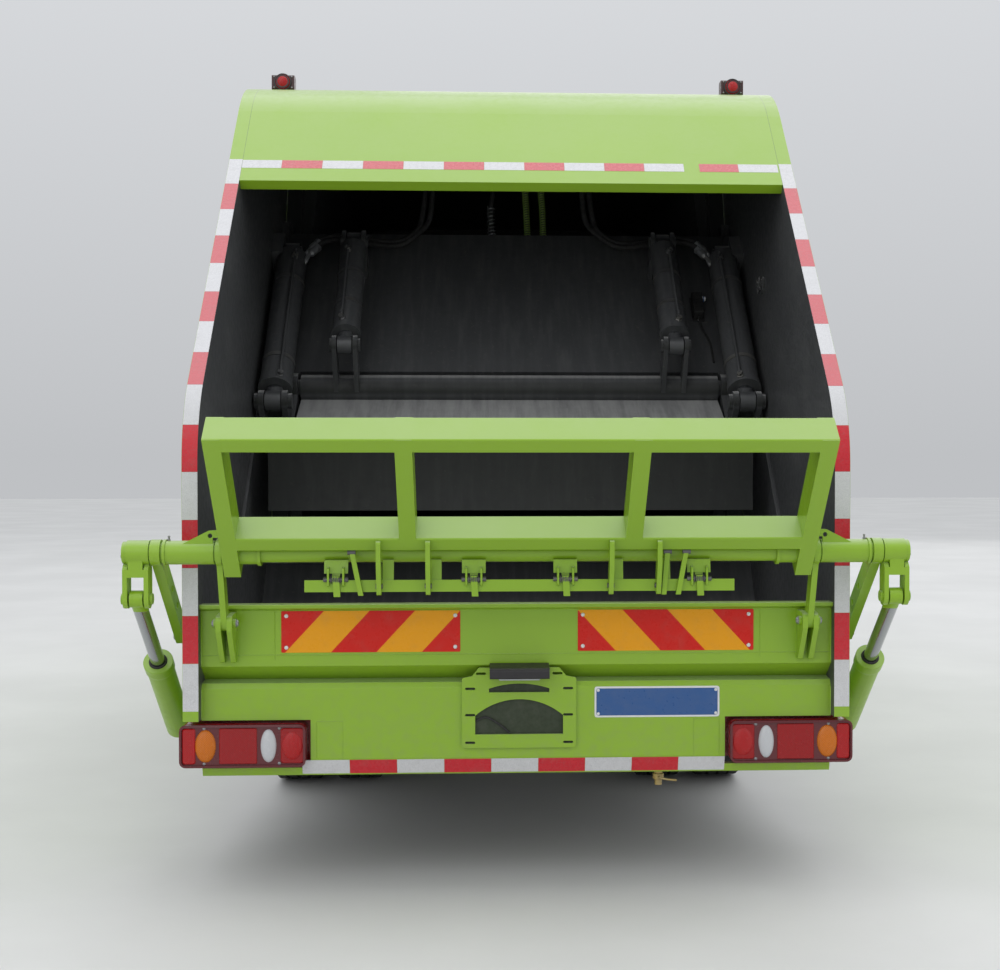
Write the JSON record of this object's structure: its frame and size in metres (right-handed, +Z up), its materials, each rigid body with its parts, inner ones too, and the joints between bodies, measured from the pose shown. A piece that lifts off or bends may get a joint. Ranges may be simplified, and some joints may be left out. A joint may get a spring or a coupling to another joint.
{
  "type": "rear-loading compactor truck",
  "caption": "Two-axle refuse truck with a tilting cab, load box, raised-up tailgate hopper, sliding packer with hinged scraper, and a bin lifter frame.",
  "frame": {"origin": "middle of the bounding box on the ground", "axes": "+Y is the driving direction, +X is the truck's right, +Z is up"},
  "size_m": [2.4278, 7.0649, 2.959],
  "materials": {
    "lime_paint": "gloss",
    "hopper_paint": "satin",
    "black_paint": "satin",
    "grey_metal": "satin",
    "piston_rod": "polished",
    "tyre": "matte",
    "lamp_red": "gloss",
    "lamp_clear": "gloss",
    "black_plastic": "matte",
    "seat_fabric": "matte",
    "glass": "clear"
  },
  "bodies": {
    "chassis": {"chassis_frame": "black_paint", "front_axle": "black_paint", "rear_axle": "black_paint", "leaf_springs": "black_paint", "engine_block": "grey_metal", "fuel_tank": "grey_metal", "oil_tank": "black_paint", "battery_box": "black_paint", "air_tanks": "black_paint", "silencer": "grey_metal", "front_bumper": "black_plastic", "mudguards": "black_plastic", "side_guards": "black_paint", "load_box": "lime_paint"},
    "ejector": {"ejector_plate": "hopper_paint"},
    "knuckle_left": {"knuckle_left": "black_paint"},
    "knuckle_right": {"knuckle_right": "black_paint"},
    "front_wheel_left": {"front_tyre_left": "tyre", "front_rim_left": "grey_metal"},
    "front_wheel_right": {"front_tyre_right": "tyre", "front_rim_right": "grey_metal"},
    "rear_wheels_left": {"rear_tyres_left": "tyre", "rear_rims_left": "grey_metal"},
    "rear_wheels_right": {"rear_tyres_right": "tyre", "rear_rims_right": "grey_metal"},
    "cab": {"cab_shell": "lime_paint", "cab_glass": "glass", "seat_bases": "black_plastic", "seats": "seat_fabric", "dashboard": "black_plastic", "mirrors": "black_plastic", "front_grille": "black_plastic", "headlamps": "lamp_clear"},
    "door_left": {"door_left": "lime_paint", "door_glass_left": "glass"},
    "door_right": {"door_right": "lime_paint", "door_glass_right": "glass"},
    "tailgate": {"tailgate_sides": "lime_paint", "tailgate_roof": "lime_paint", "hopper_floor": "hopper_paint", "rear_wall": "lime_paint", "rear_lamps": "lamp_red", "plate_bracket": "lime_paint", "roof_beacons": "lamp_red", "lifter_supports": "lime_paint", "slide_barrels": "hopper_paint"},
    "lift_barrels": {"lift_barrels": "lime_paint"},
    "lift_rods": {"lift_rods": "piston_rod"},
    "carriage": {"packer_carriage": "hopper_paint", "slide_rods": "piston_rod"},
    "scraper": {"scraper": "hopper_paint"},
    "scraper_barrels": {"scraper_barrels": "hopper_paint"},
    "scraper_rods": {"scraper_rods": "piston_rod"},
    "lifter": {"lifter_frame": "lime_paint", "bin_comb": "lime_paint"},
    "lifter_ram_barrels": {"lifter_ram_barrels": "lime_paint"},
    "lifter_ram_rods": {"lifter_ram_rods": "piston_rod"}
  },
  "joints": [
    {"name": "ejector_slide", "type": "slide", "parent": "chassis", "child": "ejector", "axis": [0, -1, 0], "range_m": [0, 2.2]},
    {"name": "steer_left", "type": "hinge", "parent": "chassis", "child": "knuckle_left", "pos_m": [-0.69, 2.39777, 0.402], "axis": [0, 0, 1], "range_deg": [-32, 32]},
    {"name": "steer_right", "type": "hinge", "parent": "chassis", "child": "knuckle_right", "pos_m": [0.69, 2.39777, 0.402], "axis": [0, 0, 1], "range_deg": [-32, 32]},
    {"name": "front_spin_left", "type": "hinge", "parent": "knuckle_left", "child": "front_wheel_left", "pos_m": [-0.8925, 2.39777, 0.402], "axis": [-1, 0, 0], "continuous": true},
    {"name": "front_spin_right", "type": "hinge", "parent": "knuckle_right", "child": "front_wheel_right", "pos_m": [0.8925, 2.39777, 0.402], "axis": [-1, 0, 0], "continuous": true},
    {"name": "rear_spin_left", "type": "hinge", "parent": "chassis", "child": "rear_wheels_left", "pos_m": [-0.8925, -1.26223, 0.402], "axis": [-1, 0, 0], "continuous": true},
    {"name": "rear_spin_right", "type": "hinge", "parent": "chassis", "child": "rear_wheels_right", "pos_m": [0.8925, -1.26223, 0.402], "axis": [-1, 0, 0], "continuous": true},
    {"name": "cab_tilt", "type": "hinge", "parent": "chassis", "child": "cab", "pos_m": [0, 3.31777, 0.81], "axis": [-1, 0, 0], "range_deg": [0, 45]},
    {"name": "door_left_hinge", "type": "hinge", "parent": "cab", "child": "door_left", "pos_m": [-1.012, 3.28977, 1.2], "axis": [0, 0, -1], "range_deg": [0, 65]},
    {"name": "door_right_hinge", "type": "hinge", "parent": "cab", "child": "door_right", "pos_m": [1.012, 3.28977, 1.2], "axis": [0, 0, 1], "range_deg": [0, 65]},
    {"name": "tailgate_lift", "type": "hinge", "parent": "chassis", "child": "tailgate", "pos_m": [0, -0.71223, 2.925], "axis": [-1, 0, 0], "range_deg": [0, 75]},
    {"name": "lift_swing", "type": "hinge", "parent": "chassis", "child": "lift_barrels", "pos_m": [0, 0.29777, 2.33], "axis": [1, 0, 0], "range_deg": [-16.31, 1]},
    {"name": "lift_stroke", "type": "slide", "parent": "lift_barrels", "child": "lift_rods", "axis": [0, -0.9975, 0.0706], "range_m": [-0.002, 0.54763]},
    {"name": "carriage_slide", "type": "slide", "parent": "tailgate", "child": "carriage", "axis": [0, -0.6839, -0.7296], "range_m": [0, 0.6]},
    {"name": "scraper_fold", "type": "hinge", "parent": "carriage", "child": "scraper", "pos_m": [0, -1.70223, 1.664], "axis": [1, 0, 0], "range_deg": [0, 66]},
    {"name": "scraper_swing", "type": "hinge", "parent": "carriage", "child": "scraper_barrels", "pos_m": [0, -1.36211, 2.30464], "axis": [1, 0, 0], "range_deg": [-1, 5.16]},
    {"name": "scraper_stroke", "type": "slide", "parent": "scraper_barrels", "child": "scraper_rods", "axis": [0, -0.6921, -0.7218], "range_m": [-0.002, 0.21875]},
    {"name": "lifter_tilt", "type": "hinge", "parent": "tailgate", "child": "lifter", "pos_m": [0, -3.16223, 1.098], "axis": [-1, 0, 0], "range_deg": [-15, 85]},
    {"name": "lifter_ram_swing", "type": "hinge", "parent": "tailgate", "child": "lifter_ram_barrels", "pos_m": [0, -2.52223, 0.44], "axis": [1, 0, 0], "range_deg": [-1.14, 1.79]},
    {"name": "lifter_ram_stroke", "type": "slide", "parent": "lifter_ram_barrels", "child": "lifter_ram_rods", "axis": [0, -0.7779, 0.6284], "range_m": [-0.03516, 0.18988]}
  ],
  "couplings": [
    {"joint": "steer_right", "follows": "steer_left", "ratio": 1},
    {"joint": "lift_swing", "follows": "tailgate_lift", "ratio": -0.20408},
    {"joint": "lift_stroke", "follows": "tailgate_lift", "m_per_rad": 0.41683},
    {"joint": "scraper_swing", "follows": "scraper_fold", "ratio": 0.06308},
    {"joint": "scraper_stroke", "follows": "scraper_fold", "m_per_rad": 0.18816},
    {"joint": "lifter_ram_swing", "follows": "lifter_tilt", "ratio": 0.00924},
    {"joint": "lifter_ram_stroke", "follows": "lifter_tilt", "m_per_rad": 0.12665}
  ]
}
